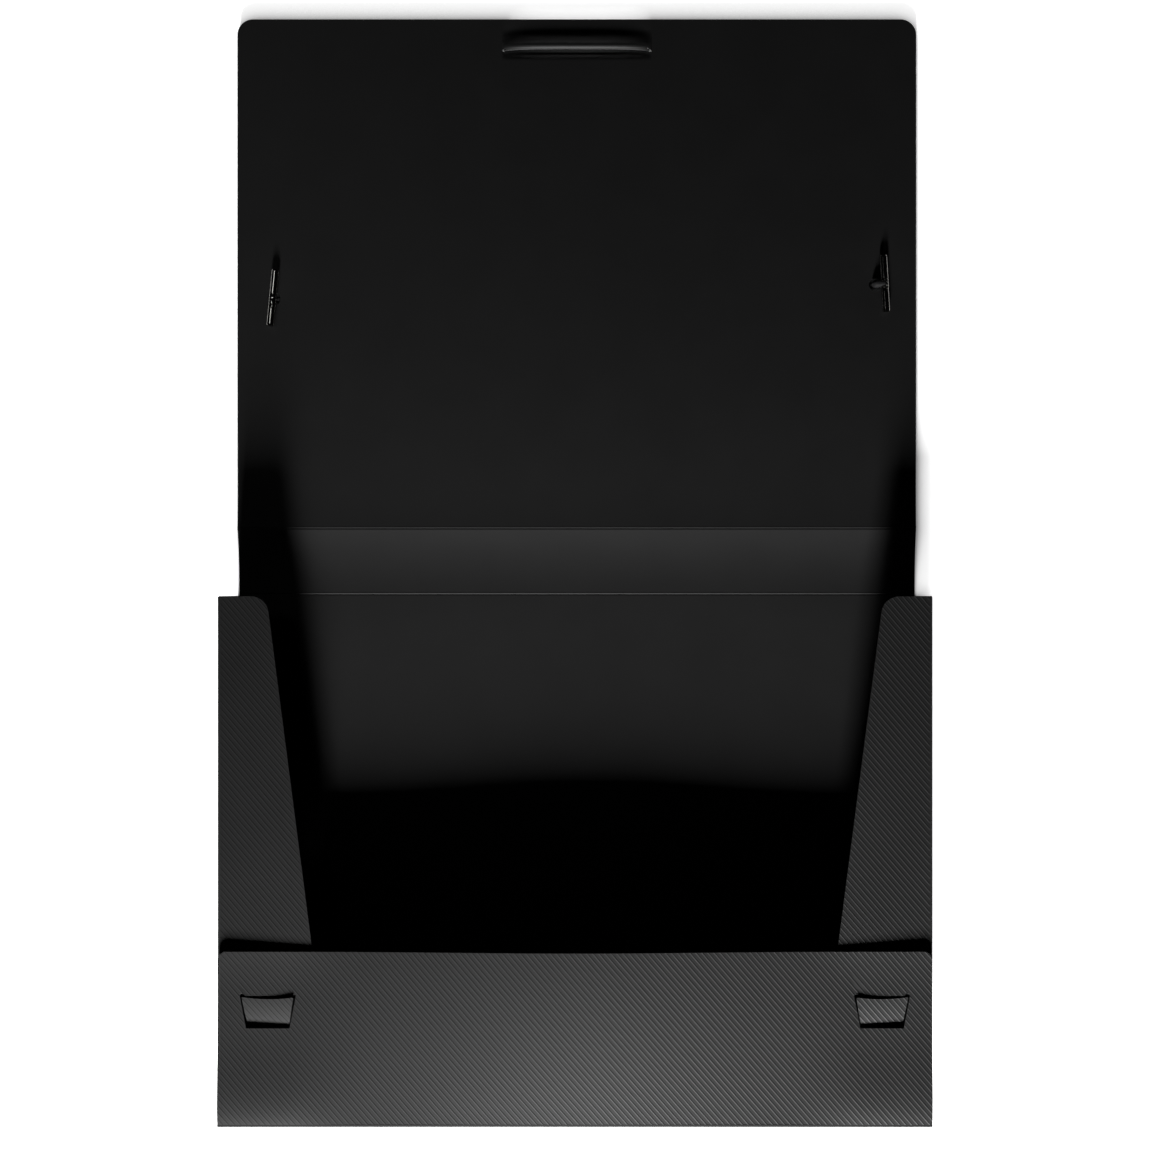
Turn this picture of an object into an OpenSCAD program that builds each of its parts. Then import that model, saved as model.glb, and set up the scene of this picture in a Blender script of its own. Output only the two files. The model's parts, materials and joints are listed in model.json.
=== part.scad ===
// Document box folded from one die-cut polypropylene sheet, shown open.
// The back panel lies flat on the table, the spine and the lid are folded out beyond it,
// and the side flaps are locked under the front flap by two tongues.
// Origin: middle of the back panel's underside. +Y runs towards the lid, +Z up.

/* [Sheet] */
// Thickness of the sheet
sheet_t = 0.8; // [0.6:0.1:1]
// Thickness left in a crease
crease_t = 0.4; // [0.3:0.1:0.5]
// Distance from a fold line to the full-thickness edge of each panel
crease_reach = 0.8; // [0.8:0.1:1.2]
// Clearance between panels that aren't joined
panel_gap = 0.35; // [0.3:0.05:0.5]

// Clearance round the bead of a crease that turns
bead_gap = 0.3; // [0.2:0.05:0.4]

/* [Box] */
// Width across the outsides of the side walls
box_w = 330; // [300:1:360]
// Distance from the bottom fold to the spine fold
box_l = 244.5; // [230:0.5:260]
// Height of the fold between a side wall and its flap
side_h = 28.7; // [26:0.1:29]
// Height of the fold between the bottom wall and the front flap
front_h = 31.3; // [31.3:0.1:31.5]

/* [Spine and lid] */
// Spine panel, fold to fold
spine_l = 32; // [32:0.5:36]
// Width of the spine and the lid
lid_w = 328; // [298:1:328]
// Length of the lid from its fold to its free edge
lid_l = 246; // [232:0.5:262]
// Radius of the lid's free corners
lid_corner_r = 7.5; // [3:0.5:12]
// Width of the hand slit near the lid's free edge
slit_w = 72.5; // [40:0.5:100]
// Distance from the slit to the lid's free edge
slit_edge = 15.2; // [10:0.1:25]
// How far the slit's lips stand apart
slit_gap = 0.6; // [0.3:0.1:1]

/* [Side flaps] */
// Width of a side flap at the spine end, from the fold line
flap_top_w = 22.4; // [18:0.1:30]
// Width of a side flap at the bottom end, from the fold line
flap_bottom_w = 54.2; // [50:0.1:54.5]
// Radius of a side flap's free corners
flap_corner_r = 8; // [4:0.5:10]
// Angle at which a side flap rises towards its free edge
flap_tilt = 1.7; // [0:0.1:1.7]

/* [Front flap] */
// Width of the bottom wall and the front flap
front_w = 328.6; // [298:0.1:328.6]
// Depth of the front flap from its fold to its free edge
front_l = 80.3; // [70:0.1:100]
// Radius of the front flap's free corners
front_corner_r = 4.3; // [2:0.1:8]
// How far the middle of the front flap's free edge bows up
front_crown = 2.6; // [0:0.1:2.6]
// Half the width over which the front flap bows
crown_reach = 122; // [100:1:125]

/* [Tongue locks] */
// Distance of each lock's middle from the centreline
lock_x = 141.2; // [130:0.1:143]
// Distance from the bottom fold to the narrow edge of the window
lock_y = 45; // [40:0.5:50]
// Width of the window at its narrow edge
window_narrow_w = 19.9; // [16:0.1:22]
// Width of the window at its wide edge
window_wide_w = 25.2; // [20:0.1:28]
// Height of the window between its two edges
window_h = 15; // [12:0.5:18]
// Free length of the tongue from its fold
tongue_l = 13.7; // [11:0.1:13.7]
// Angle of the tongue above the side flap
tongue_tilt = 7.5; // [5:0.5:8]

/* [Elastic cord] */
// Diameter of the elastic cord
cord_d = 3; // [2:0.1:3]
// Diameter of the punched holes that the cord passes through
hole_d = 6; // [4:0.1:7]
// Distance of the left hole from the centreline
left_hole_x = 146.4; // [140:0.1:150]
// Distance of the right hole from the centreline
right_hole_x = 144.3; // [140:0.1:150]
// Distance from the left hole to the lid's free edge
left_hole_edge = 135; // [120:0.5:140]
// Distance from the right hole to the lid's free edge
right_hole_edge = 128; // [120:0.5:140]
// Length of the metal bar on each end of the cord
bar_l = 27; // [18:0.5:30]
// Width of the rolled metal bar
bar_w = 3.8; // [3.6:0.1:4.5]
// Height of the rolled metal bar
bar_h = 3; // [3:0.1:3.5]
// How far the cord runs on top of the lid from the right hole to the middle of its bar
right_bar_offset = 4.2; // [3.5:0.1:6]
// Angle of the left bar from the lid's length
left_bar_turn = -5.5; // [-10:0.5:10]
// Angle of the right bar from the lid's length
right_bar_turn = 3; // [-10:0.5:10]

/* [Hidden] */
$fn = 48;

// Faces per rounded sheet corner, and the spacing of the bowed front flap's grid
corner_steps = 8;
crown_columns = 24;
crown_rows = 6;

// Fold lines run along the middle of the sheet's thickness
fold_z = sheet_t / 2;
side_fold_x = box_w / 2 - sheet_t / 2;
end_fold_y = box_l / 2;

// The lid lies level on the elastic cord, so the spine slopes up to it
spine_tilt = asin(cord_d / spine_l);
lid_fold_y = end_fold_y + spine_l * cos(spine_tilt);
lid_fold_z = fold_z + spine_l * sin(spine_tilt);

// Heights of the cord under the lid and of the bars on top of it
lid_top_z = lid_fold_z + sheet_t / 2;
cord_z = cord_d / 2;
bar_z = lid_top_z + bar_h / 2;

// The cord's straight runs are a hair thinner than the rounded bends that join them
cord_run_d = cord_d - 0.06;

// Ends of the cord's straight run, under the two holes
left_hole = [-left_hole_x, lid_fold_y + lid_l - left_hole_edge, cord_z];
right_hole = [right_hole_x, lid_fold_y + lid_l - right_hole_edge, cord_z];

// Side walls stop short of the moving panels at both ends
wall_end_y = end_fold_y - crease_reach;
flap_end_y = end_fold_y - 1.05;

// Overcut that keeps a cutter's faces off the faces it cuts
over = 1;

sheet_colour = [0.09, 0.09, 0.1];
crease_colour = [0.2, 0.2, 0.21];
cord_colour = [0.05, 0.05, 0.05];
metal_colour = [0.7, 0.7, 0.72];

function unit(v) = v / norm(v);

// Points of an arc of radius r that rounds the corner at `at`
function corner_arc(before, at, after, r) =
    let (
        back = unit(before - at),
        ahead = unit(after - at),
        half = acos(back * ahead) / 2,
        centre = at + unit(back + ahead) * r / sin(half),
        start = at + back * r / tan(half) - centre,
        turn = -sign(cross(back, ahead)) * (180 - 2 * half),
        first = atan2(start.y, start.x)
    )
    [for (i = [0:corner_steps])
        centre + r * [cos(first + turn * i / corner_steps), sin(first + turn * i / corner_steps)]];

// An outline with the corner at points[i] rounded to radii[i]
function rounded(points, radii) =
    let (n = len(points))
    [for (i = [0:n - 1])
        each radii[i] > 0
            ? corner_arc(points[(i + n - 1) % n], points[i], points[(i + 1) % n], radii[i])
            : [points[i]]];

// A trapezoid standing on the X axis
function trapezoid(low_w, high_w, low_y, high_y) =
    [[-low_w / 2, low_y], [low_w / 2, low_y], [high_w / 2, high_y], [-high_w / 2, high_y]];

// A flat piece of sheet, centred on the XY plane
module panel(outline) {
    translate([0, 0, -sheet_t / 2])
        linear_extrude(sheet_t)
            polygon(outline);
}

module flat_panel(w, from_y, to_y) {
    panel([[-w / 2, from_y], [w / 2, from_y], [w / 2, to_y], [-w / 2, to_y]]);
}

// A living hinge along X: a thin bead on the fold line with a web towards each joined panel.
// A web at 0 degrees runs along +Y, and one at 90 degrees along +Z.
module crease(length, web_angles) {
    rotate([90, 0, 90])
        linear_extrude(length, center = true) {
            circle(d = crease_t);
            for (a = web_angles)
                rotate(a)
                    translate([0, -crease_t / 2])
                        square([crease_reach, crease_t]);
        }
}

module on_spine() {
    translate([0, end_fold_y, fold_z])
        rotate([spine_tilt, 0, 0])
            children();
}

module on_lid() {
    translate([0, lid_fold_y, lid_fold_z])
        children();
}

module on_bottom_wall() {
    translate([0, -end_fold_y, fold_z])
        rotate([90, 0, 0])
            children();
}

// The left flap's plane: X runs from its fold line towards its free edge
module on_left_flap() {
    translate([-side_fold_x, 0, side_h])
        rotate([0, -flap_tilt, 0])
            children();
}

// The tongue's fold line on the left flap, with Y towards the tongue's free end
module on_left_lock() {
    on_left_flap()
        translate([side_fold_x - lock_x, -end_fold_y + lock_y, 0])
            children();
}

module mirrored() {
    mirror([1, 0, 0])
        children();
}

module back_panel() {
    color(sheet_colour)
        translate([0, 0, fold_z])
            flat_panel(2 * (side_fold_x - crease_reach), crease_reach - end_fold_y, end_fold_y - crease_reach);
}

module spine_panel() {
    color(sheet_colour)
        on_spine()
            flat_panel(lid_w, crease_reach, spine_l - crease_reach);
}

module lid_panel() {
    half_w = lid_w / 2;
    outline = rounded(
        [[-half_w, crease_reach], [half_w, crease_reach], [half_w, lid_l], [-half_w, lid_l]],
        [0, 0, lid_corner_r, lid_corner_r]
    );
    color(sheet_colour)
        on_lid()
            difference() {
                panel(outline);
                translate([0, lid_l - slit_edge, 0])
                    cube([slit_w, slit_gap, sheet_t + over], center = true);
                translate([-left_hole_x, lid_l - left_hole_edge, 0])
                    cylinder(d = hole_d, h = sheet_t + over, center = true);
                translate([right_hole_x, lid_l - right_hole_edge, 0])
                    cylinder(d = hole_d, h = sheet_t + over, center = true);
            }
}

module bottom_wall() {
    color(sheet_colour)
        on_bottom_wall()
            flat_panel(front_w, crease_reach, front_h - fold_z - crease_reach);
}

// How far the front flap bows up at x, a distance y from its fold
function crown(x, y) =
    abs(x) < crown_reach ? front_crown * pow(cos(90 * x / crown_reach), 2) * sin(90 * y / front_l) : 0;

// The bowed sheet before its outline and windows are cut
module bowed_sheet() {
    low = [-front_w / 2 - over, 0];
    size = [front_w + 2 * over, front_l + over];
    columns = crown_columns + 1;
    count = columns * (crown_rows + 1);
    side = function (z) [
        for (j = [0:crown_rows], i = [0:crown_columns])
            let (
                x = low.x + size.x * i / crown_columns,
                y = low.y + size.y * j / crown_rows
            )
            [x, y, z + crown(x, min(y, front_l))]
    ];
    cells = [for (j = [0:crown_rows - 1], i = [0:crown_columns - 1]) j * columns + i];
    rim = concat(
        [for (i = [0:crown_columns]) i],
        [for (j = [1:crown_rows]) j * columns + crown_columns],
        [for (i = [crown_columns - 1:-1:0]) crown_rows * columns + i],
        [for (j = [crown_rows - 1:-1:1]) j * columns]
    );
    polyhedron(
        points = concat(side(-sheet_t / 2), side(sheet_t / 2)),
        faces = concat(
            [for (c = cells) each [[c, c + 1, c + columns + 1], [c, c + columns + 1, c + columns]]],
            [for (c = cells)
                let (d = c + count)
                each [[d, d + columns + 1, d + 1], [d, d + columns, d + columns + 1]]],
            [for (k = [0:len(rim) - 1])
                let (a = rim[k], b = rim[(k + 1) % len(rim)])
                each [[a, a + count, b + count], [a, b + count, b]]]
        )
    );
}

module front_flap() {
    half_w = front_w / 2;
    outline = rounded(
        [[-half_w, crease_reach], [half_w, crease_reach], [half_w, front_l], [-half_w, front_l]],
        [0, 0, front_corner_r, front_corner_r]
    );
    cut_h = 2 * (sheet_t + front_crown + over);
    color(sheet_colour)
        translate([0, -end_fold_y, front_h])
            difference() {
                intersection() {
                    bowed_sheet();
                    linear_extrude(cut_h, center = true)
                        polygon(outline);
                }
                for (side = [-1, 1])
                    translate([side * lock_x, lock_y, 0])
                        linear_extrude(cut_h, center = true)
                            polygon(trapezoid(window_narrow_w, window_wide_w, 0, window_h));
            }
}

module left_wall() {
    color(sheet_colour)
        translate([-side_fold_x, 0, fold_z])
            rotate([0, -90, 0])
                panel([
                    [crease_reach, -wall_end_y],
                    [side_h - fold_z - crease_reach, -wall_end_y],
                    [side_h - fold_z - crease_reach, wall_end_y],
                    [crease_reach, wall_end_y]
                ]);
}

module left_flap() {
    outline = rounded(
        [
            [crease_reach, -flap_end_y], [flap_bottom_w, -flap_end_y],
            [flap_top_w, flap_end_y], [crease_reach, flap_end_y]
        ],
        [0, flap_corner_r, flap_corner_r, 0]
    );
    color(sheet_colour)
        difference() {
            on_left_flap()
                panel(outline);
            on_left_lock()
                linear_extrude(sheet_t + over, center = true)
                    polygon(trapezoid(
                        window_narrow_w, window_wide_w + panel_gap,
                        -crease_reach, tongue_l + panel_gap
                    ));
        }
}

module left_tongue() {
    color(sheet_colour)
        on_left_lock()
            rotate([tongue_tilt, 0, 0])
                panel(rounded(
                    trapezoid(
                        window_narrow_w - 2 * panel_gap, window_wide_w - 3 * panel_gap,
                        crease_t / 2 + bead_gap, tongue_l
                    ),
                    [0, 0, 1.5, 1.5]
                ));
}

// Corner between the back panel and the left wall
module back_left_crease() {
    color(crease_colour)
        translate([-side_fold_x, 0, fold_z])
            rotate(-90)
                crease(2 * wall_end_y, [0, 90]);
}

// Corner between the left wall and the left flap
module left_flap_crease() {
    color(crease_colour)
        translate([-side_fold_x, 0, side_h])
            rotate(-90)
                crease(2 * flap_end_y, [flap_tilt, -90]);
}

// Fold line of the tongue, at its narrow end
module left_tongue_crease() {
    color(crease_colour)
        on_left_lock()
            crease(window_narrow_w - 2 * panel_gap, [180]);
}

module back_spine_crease() {
    color(crease_colour)
        translate([0, end_fold_y, fold_z])
            crease(lid_w, [180]);
}

module spine_lid_crease() {
    color(crease_colour)
        on_lid()
            crease(lid_w, [180 + spine_tilt]);
}

module back_bottom_crease() {
    color(crease_colour)
        translate([0, -end_fold_y, fold_z])
            crease(front_w, [0]);
}

module bottom_front_crease() {
    color(crease_colour)
        translate([0, -end_fold_y, front_h])
            crease(front_w, [-90]);
}

// The cord lies under the lid between the holes. Its left end rises straight into a bar,
// and its right end bends outwards on top of the lid first.
module cord_shape() {
    run = right_hole - left_hole;
    rise = bar_z - cord_z;
    translate(left_hole) {
        sphere(d = cord_d);
        cylinder(d = cord_run_d, h = rise);
        rotate([0, 0, atan2(run.y, run.x)])
            rotate([0, 90, 0])
                cylinder(d = cord_run_d, h = norm(run));
    }
    translate(right_hole) {
        sphere(d = cord_d);
        cylinder(d = cord_run_d, h = rise);
        translate([0, 0, rise]) {
            sphere(d = cord_d);
            rotate([0, 90, 0])
                cylinder(d = cord_run_d, h = right_bar_offset);
        }
    }
}

module elastic_cord() {
    color(cord_colour)
        cord_shape();
}

// A rolled metal bar crimped across the end of the cord
module t_bar(at, turn) {
    shoulder = (bar_w - bar_h) / 2;
    color(metal_colour)
        difference() {
            translate([at.x, at.y, bar_z])
                rotate(turn)
                    rotate([90, 0, 0])
                        linear_extrude(bar_l, center = true) {
                            square([2 * shoulder, bar_h], center = true);
                            for (side = [-1, 1])
                                translate([side * shoulder, 0])
                                    circle(d = bar_h);
                        }
            cord_shape();
        }
}

module left_t_bar() {
    t_bar(left_hole, left_bar_turn);
}

module right_t_bar() {
    t_bar(right_hole + [right_bar_offset, 0, 0], right_bar_turn);
}

back_panel();
spine_panel();
lid_panel();
bottom_wall();
front_flap();
left_wall();
mirrored() left_wall();  // right_wall
left_flap();
mirrored() left_flap();  // right_flap
left_tongue();
mirrored() left_tongue();  // right_tongue
back_left_crease();
mirrored() back_left_crease();  // back_right_crease
left_flap_crease();
mirrored() left_flap_crease();  // right_flap_crease
left_tongue_crease();
mirrored() left_tongue_crease();  // right_tongue_crease
back_spine_crease();
spine_lid_crease();
back_bottom_crease();
bottom_front_crease();
elastic_cord();
left_t_bar();
right_t_bar();
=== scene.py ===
"""Looks for the open document box: the folded polypropylene sheet, its elastic cord and two metal bars."""

import json
import math

import bmesh
import bpy
import numpy as np
from mathutils import Matrix, Vector
from mathutils.geometry import delaunay_2d_cdt

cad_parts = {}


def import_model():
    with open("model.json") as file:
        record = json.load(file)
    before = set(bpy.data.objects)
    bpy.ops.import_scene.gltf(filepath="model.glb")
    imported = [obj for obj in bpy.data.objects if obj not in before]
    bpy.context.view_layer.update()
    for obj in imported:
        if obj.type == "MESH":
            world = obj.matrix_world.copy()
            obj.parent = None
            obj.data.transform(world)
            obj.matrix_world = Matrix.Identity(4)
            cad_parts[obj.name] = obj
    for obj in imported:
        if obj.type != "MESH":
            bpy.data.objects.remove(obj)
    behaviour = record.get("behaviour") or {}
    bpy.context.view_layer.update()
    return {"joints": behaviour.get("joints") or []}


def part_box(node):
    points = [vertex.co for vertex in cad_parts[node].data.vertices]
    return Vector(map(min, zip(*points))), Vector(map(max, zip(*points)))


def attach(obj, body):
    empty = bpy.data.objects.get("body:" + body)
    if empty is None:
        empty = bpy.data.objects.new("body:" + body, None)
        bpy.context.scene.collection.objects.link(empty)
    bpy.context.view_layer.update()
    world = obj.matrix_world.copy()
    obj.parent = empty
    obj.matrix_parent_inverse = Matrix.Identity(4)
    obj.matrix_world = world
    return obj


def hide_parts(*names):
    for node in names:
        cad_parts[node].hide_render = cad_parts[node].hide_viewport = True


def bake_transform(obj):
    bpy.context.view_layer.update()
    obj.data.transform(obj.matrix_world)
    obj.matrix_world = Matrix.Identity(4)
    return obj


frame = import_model()

X, Y, Z = Vector((1, 0, 0)), Vector((0, 1, 0)), Vector((0, 0, 1))

# The sheet, in metres
SHEET_T = 0.0008
CREASE_T = 0.0004
CREASE_REACH = 0.0008
EDGE_BEVEL = 0.00008
CORNER_STEPS = 14

# Fine raised ridges on the sheet's outer face. On the flat blank they all run the same way.
RIDGE_PITCH = 0.0021
RIDGE_HALF_W = 0.00042
RIDGE_H = 0.00008
RIDGE_SLOPE = 1.155

# Distances of the two faces from the middle of the sheet, ridges not counted on the outer one
INNER = SHEET_T / 2
OUTER = SHEET_T / 2 - RIDGE_H


def fold(name):
    """A point on the axis of one of the frame's joints."""
    return Vector(next(j["pos_m"] for j in frame["joints"] if j["name"] == name))


def corner(node, x, y, z):
    """A corner of a CAD node's box. Each of x, y and z is 0 for the low side and 1 for the high side."""
    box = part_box(node)
    return Vector((box[x].x, box[y].y, box[z].z))


SPINE_FOLD = fold("spine_fold")
LID_FOLD = fold("lid_fold")
BOTTOM_FOLD = fold("bottom_wall_fold")
FRONT_FOLD = fold("front_flap_fold")
LOCK_FOLDS = {"left": fold("left_tongue_press"), "right": fold("right_tongue_press")}
SIDE_X = abs(corner("left_wall", 0, 0, 0).x) - SHEET_T / 2
SIDE_Z = corner("left_wall", 0, 0, 1).z + CREASE_REACH
BACK_Z = SPINE_FOLD.z
END_Y = SPINE_FOLD.y


# ---------------------------------------------------------------- outlines

def corner_arc(before, at, after, radius):
    """Points that round the corner at `at` with a radius."""
    back = (before - at).normalized()
    ahead = (after - at).normalized()
    half = math.acos(max(-1.0, min(1.0, back.dot(ahead)))) / 2
    centre = at + (back + ahead).normalized() * radius / math.sin(half)
    start = at + back * radius / math.tan(half) - centre
    turn = math.copysign(math.pi - 2 * half, ahead.x * back.y - ahead.y * back.x)
    points = []
    for i in range(CORNER_STEPS + 1):
        a = turn * i / CORNER_STEPS
        points.append(centre + Vector((
            start.x * math.cos(a) - start.y * math.sin(a),
            start.x * math.sin(a) + start.y * math.cos(a),
        )))
    return points


def outline(corners, radii, free):
    """An anticlockwise outline with rounded corners, and whether each of its edges is a free, cut edge."""
    points = [Vector(c) for c in corners]
    loop, cut = [], []
    for i, radius in enumerate(radii):
        before, at, after = points[i - 1], points[i], points[(i + 1) % len(points)]
        arc = corner_arc(before, at, after, radius) if radius else [at]
        loop += arc
        cut += [True] * (len(arc) - 1) + [free[i]]
    return loop, cut


def inset(loop, cut, depth):
    """The loop moved inwards by depth along its cut edges."""
    moved = []
    count = len(loop)
    for i in range(count):
        lines = []
        for j in (i - 1, i):
            a, b = loop[j], loop[(j + 1) % count]
            along = (b - a).normalized()
            normal = Vector((-along.y, along.x))
            lines.append((a + normal * depth * cut[j], along))
        (p, d), (q, e) = lines
        turn = d.x * e.y - d.y * e.x
        if abs(turn) < 1e-6:
            moved.append(q.copy())
        else:
            gap = q - p
            moved.append(p + d * (gap.x * e.y - gap.y * e.x) / turn)
    return moved


def inside(points, loops):
    """Which points lie inside the first loop and outside the others."""
    x, y = points[:, 0], points[:, 1]
    odd = np.zeros(len(points), bool)
    for loop in loops:
        for a, b in zip(loop, loop[1:] + loop[:1]):
            if a.y != b.y:
                odd ^= ((a.y > y) != (b.y > y)) & (x < a.x + (b.x - a.x) * (y - a.y) / (b.y - a.y))
    return odd


# ---------------------------------------------------------------- ridges

def ridge_height(u, v, run):
    """Height of the raised ridges above the outer face. run is the unit direction along them."""
    across = u * run.y - v * run.x
    offset = (across + RIDGE_PITCH / 2) % RIDGE_PITCH - RIDGE_PITCH / 2
    return RIDGE_H * np.clip(1 - np.abs(offset) / RIDGE_HALF_W, 0, 1)


def stretches(point, run, loops):
    """The stretches of a line that lie inside the loops, as distances from the point."""
    cuts = []
    side = Vector((run.y, -run.x))
    for loop in loops:
        for a, b in zip(loop, loop[1:] + loop[:1]):
            da, db = (a - point).dot(side), (b - point).dot(side)
            if (da > 0) != (db > 0):
                cuts.append((a + (b - a) * da / (da - db) - point).dot(run))
    cuts.sort()
    return zip(cuts[::2], cuts[1::2])


def ridge_lines(loops, run, step):
    """Chains of points along both feet and the crest of each ridge, a little longer than the sheet."""
    side = Vector((run.y, -run.x))
    reach = [p.dot(side) for p in loops[0]]
    overrun = 2e-5
    chains = []
    for k in range(math.floor(min(reach) / RIDGE_PITCH), math.ceil(max(reach) / RIDGE_PITCH) + 1):
        for offset in (-RIDGE_HALF_W, 0, RIDGE_HALF_W):
            start = side * (k * RIDGE_PITCH + offset)
            for low, high in stretches(start, run, loops):
                low, high = low - overrun, high + overrun
                chain, t = [start + run * low], low
                while True:
                    t += step(*chain[-1])
                    if t > high - overrun:
                        break
                    chain.append(start + run * t)
                chains.append(chain + [start + run * high])
    return chains


# ---------------------------------------------------------------- sheet panels

def triangulate(loops, chains, loose):
    """Triangles between the loops that keep to the chains and loose points, and where each point went."""
    points, edges = [], []
    for chain, closed in [(loop, True) for loop in loops] + [(chain, False) for chain in chains]:
        first = len(points)
        points += chain
        edges += [(first + i, first + i + 1) for i in range(len(chain) - 1)]
        if closed:
            edges.append((len(points) - 1, first))
    points += loose
    found, _, faces, origins, _, _ = delaunay_2d_cdt(points, edges, [], 0, 1e-8, True)
    flat = np.array([p[:] for p in found])
    faces = np.array([f for f in faces if len(f) == 3])
    faces = faces[inside(flat[faces].mean(axis=1), loops)]
    a, b, c = (flat[faces[:, i]] for i in range(3))
    area = (b[:, 0] - a[:, 0]) * (c[:, 1] - a[:, 1]) - (b[:, 1] - a[:, 1]) * (c[:, 0] - a[:, 0])
    faces[area < 0] = faces[area < 0][:, ::-1]
    went = {given: new for new, given_list in enumerate(origins) for given in given_list}
    return flat, faces, went


def rim_edges(faces):
    """The directed edges that belong to one triangle only."""
    edges = {(int(f[i]), int(f[(i + 1) % 3])) for f in faces for i in range(3)}
    return [(a, b) for a, b in edges if (b, a) not in edges]


def rim_loops(edges):
    """The rim's edges as closed loops of vertex numbers."""
    after = dict(edges)
    loops = []
    while after:
        first = next(iter(after))
        loop = [first]
        while after[loop[-1]] != first:
            loop.append(after.pop(loop[-1]))
        after.pop(loop[-1])
        loops.append(loop)
    return loops


def outward(points, inner_loops, outer_loops):
    """The point of the true outline that each rim point of the inset outline faces."""
    a = np.array([p[:] for loop in inner_loops for p in loop])
    b = np.array([p[:] for loop in inner_loops for p in loop[1:] + loop[:1]])
    c = np.array([p[:] for loop in outer_loops for p in loop])
    d = np.array([p[:] for loop in outer_loops for p in loop[1:] + loop[:1]])
    length2 = ((b - a) ** 2).sum(axis=1)
    moved = []
    for p in points:
        t = np.clip(((p - a) * (b - a)).sum(axis=1) / length2, 0, 1)
        i = (((a + t[:, None] * (b - a) - p) ** 2).sum(axis=1)).argmin()
        moved.append(c[i] + t[i] * (d[i] - c[i]))
    return np.array(moved)


def grid(low, high, step):
    """Loose points on a square grid."""
    across = np.arange(low[0] + step / 2, high[0], step)
    along = np.arange(low[1] + step / 2, high[1], step)
    return [Vector((u, v)) for u in across for v in along]


def clear_of(points, loops, gap):
    """The points that lie inside the loops and at least a gap away from them."""
    if not points:
        return []
    flat = np.array([p[:] for p in points])
    keep = inside(flat, loops)
    for loop in loops:
        for a, b in zip(loop, loop[1:] + loop[:1]):
            run = np.array(b - a)
            t = np.clip((flat - np.array(a)) @ run / (run @ run), 0, 1)
            keep &= ((flat - np.array(a) - t[:, None] * run) ** 2).sum(axis=1) > gap * gap
    return [p for p, k in zip(points, keep) if k]


def level(u, v):
    """The height of a panel that lies flat."""
    return 0 * u


def far_apart(u, v):
    """One long step, for ridges on a panel that is flat."""
    return 1.0


def plane(origin, across, along):
    """The matrix that carries (across, along, outwards) to the row frame."""
    u, v = across.normalized(), along.normalized()
    n = u.cross(v)
    return Matrix.Translation(origin) @ Matrix((u, v, n)).transposed().to_4x4()


def finish_mesh(name, verts, faces, materials, indices=None, crease_angle=9.0):
    """A linked mesh object with smooth shading that breaks at sharper angles."""
    mesh = bpy.data.meshes.new(name)
    mesh.from_pydata([tuple(v) for v in verts], [], [tuple(f) for f in faces])
    for material in materials:
        mesh.materials.append(material)
    if indices is not None:
        mesh.polygons.foreach_set("material_index", indices)
    mesh.shade_smooth()
    mesh.set_sharp_from_angle(angle=math.radians(crease_angle))
    mesh.update()
    piece = bpy.data.objects.new(name, mesh)
    bpy.context.scene.collection.objects.link(piece)
    return piece


def sheet_panel(
    name, at, rim, holes=(), ridged=1, run=(1, -RIDGE_SLOPE), height=level, step=far_apart, loose=(),
):
    """A closed panel of the sheet with cut edges, holes and ridges.

    at carries (across, along, outwards) to the row frame. ridged is the side that is the sheet's outer
    face, 1 for the top of that plane and -1 for its underside. height bends the whole panel.
    """
    outer_loops = [rim[0]] + [list(h) for h in holes]
    cuts = [rim[1]] + [[True] * len(h) for h in holes]
    inner_loops = [inset(loop, cut, EDGE_BEVEL) for loop, cut in zip(outer_loops, cuts)]
    run = Vector(run).normalized()
    flat_a, faces_a, _ = triangulate(inner_loops, ridge_lines(inner_loops, run, step), [])
    edges = rim_edges(faces_a)
    rim_ids = [i for loop in rim_loops(edges) for i in loop]
    loops_b = [[Vector(flat_a[i]) for i in loop] for loop in rim_loops(edges)]
    flat_b, faces_b, went = triangulate(loops_b, [], clear_of(list(loose), inner_loops, 0.0005))
    partner = {i: went[k] for k, i in enumerate(rim_ids)}

    outer = ridged * (OUTER + ridge_height(flat_a[:, 0], flat_a[:, 1], run))
    verts = [np.column_stack([flat_a, height(flat_a[:, 0], flat_a[:, 1]) + outer])]
    verts.append(np.column_stack([flat_b, height(flat_b[:, 0], flat_b[:, 1]) - ridged * INNER]))
    ring = outward(flat_a[rim_ids], inner_loops, outer_loops)
    ring_z = height(ring[:, 0], ring[:, 1])
    verts.append(np.column_stack([ring, ring_z + ridged * (OUTER - EDGE_BEVEL)]))
    verts.append(np.column_stack([ring, ring_z - ridged * (INNER - EDGE_BEVEL)]))
    first_b = len(flat_a)
    first_c = first_b + len(flat_b)
    first_d = first_c + len(ring)
    place = {i: k for k, i in enumerate(rim_ids)}

    faces = [tuple(f) for f in (faces_a if ridged > 0 else faces_a[:, ::-1])]
    indices = [1] * len(faces)
    faces += [tuple(f + first_b) for f in (faces_b[:, ::-1] if ridged > 0 else faces_b)]
    for a, b in edges:
        stack = [(a, b), (first_c + place[a], first_c + place[b])]
        stack += [(first_d + place[a], first_d + place[b]), (first_b + partner[a], first_b + partner[b])]
        for (p, q), (r, s) in zip(stack, stack[1:]):
            quad = (p, r, s, q)
            faces.append(quad if ridged > 0 else quad[::-1])
    indices += [0] * (len(faces) - len(indices))

    joined = np.vstack(verts)
    used = np.zeros(len(joined), bool)
    for f in faces:
        used[list(f)] = True
    renumber = np.cumsum(used) - 1
    faces = [tuple(int(renumber[i]) for i in f) for f in faces]
    placed = [at @ Vector(v) for v in joined[used]]
    return finish_mesh(name, placed, faces, [inner_face, outer_face], indices)


# ---------------------------------------------------------------- materials

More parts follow.
